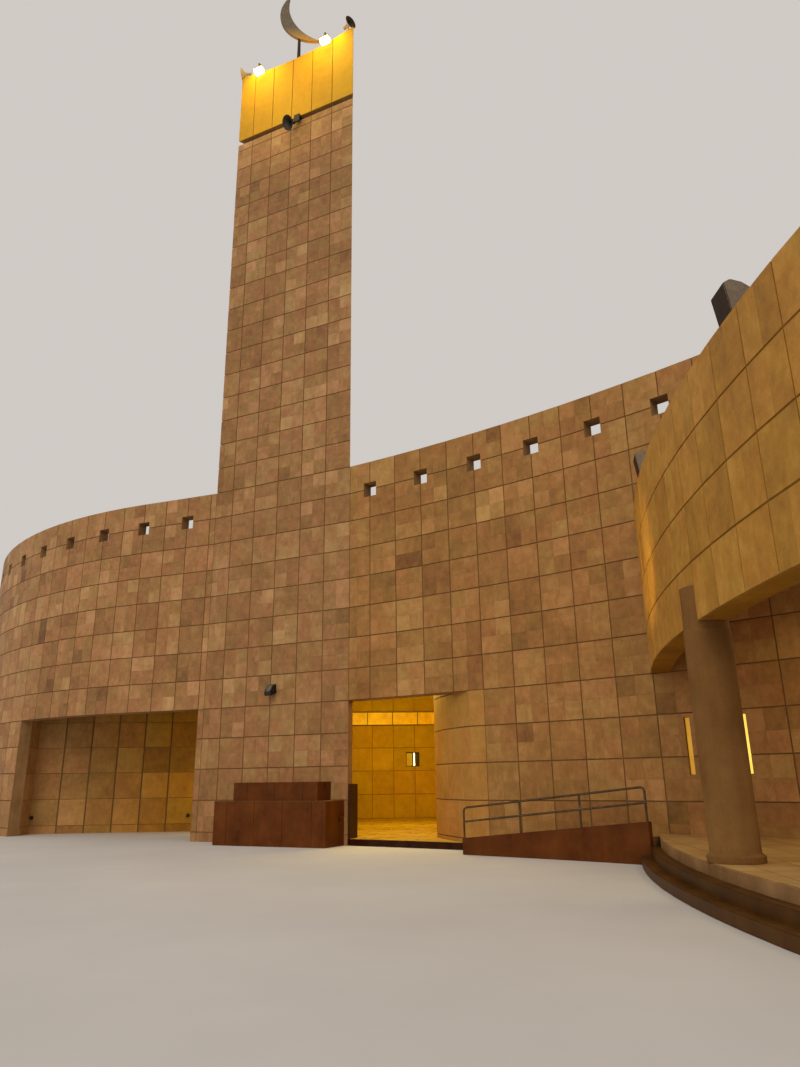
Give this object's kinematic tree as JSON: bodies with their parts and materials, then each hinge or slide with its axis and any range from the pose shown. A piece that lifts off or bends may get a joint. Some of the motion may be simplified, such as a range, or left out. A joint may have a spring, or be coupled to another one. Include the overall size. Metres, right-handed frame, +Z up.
{
  "type": "mosque_front_with_minaret",
  "caption": "Stone-clad mosque front with a triangular minaret, curved walls with parapet holes, a recess, a lit passage and a curved portico with a ramp",
  "frame": {"origin": "on the ground at the foot of the minaret's front wall, in the middle of its width and of its thickness", "axes": "+Z up; +X along the minaret's front face to the right as seen from the court; +Y into the building, away from the court"},
  "size_m": [37.8189, 25.1378, 32.415],
  "materials": {
    "stone": "honed limestone panels",
    "granite": "polished red-brown granite",
    "paving": "honed paving",
    "plaster": "painted plaster",
    "render": "fine painted render",
    "roofing": "screed",
    "bronze": "dark bronze",
    "dark_metal": "satin",
    "steel": "brushed",
    "lit_glass": "lit from behind"
  },
  "bodies": {
    "root": {"minaret_base": "stone", "minaret_shaft": "stone", "minaret_groove": "dark_metal", "minaret_crown": "stone", "crown_deck": "roofing", "crescent_pole": "bronze", "crescent": "bronze", "crown_lamp_left": "dark_metal", "crown_lamp_right": "dark_metal", "corner_horn_left": "bronze", "corner_horn_right": "bronze", "face_horn": "dark_metal", "wall_lamp": "dark_metal", "recess_jamb": "stone", "recess_lintel_right": "stone", "recess_lintel_left": "stone", "left_wall_mid": "stone", "left_wall_end": "stone", "passage_lintel": "stone", "right_wall_mid": "stone", "right_wall_end": "stone", "slot_glass_1": "lit_glass", "slot_glass_2": "lit_glass", "passage_side_wall": "stone", "lobby_slant_wall": "stone", "lobby_far_wall": "stone", "recess_back_wall": "stone", "rear_wall": "stone", "window_glass": "lit_glass", "left_return_wall": "stone", "right_end_wall": "stone", "lobby_light_band": "lit_glass", "lobby_floor": "paving", "lobby_ceiling": "plaster", "recess_ceiling": "plaster", "roof_left": "roofing", "roof_right": "roofing", "jamb_panel": "dark_metal", "column_1": "render", "column_2": "render", "fascia_1": "stone", "fascia_2": "stone", "fascia_3": "stone", "roof_lamp_1": "bronze", "roof_lamp_2": "bronze", "portico_back_wall": "stone", "portico_roof": "roofing", "platform": "paving", "platform_steps": "granite", "ramp_slab": "paving", "ramp_kerb": "granite", "ramp_rail": "steel", "pedestal": "granite", "recess_lamp_1": "dark_metal", "recess_lamp_2": "dark_metal"}
  },
  "joints": []
}
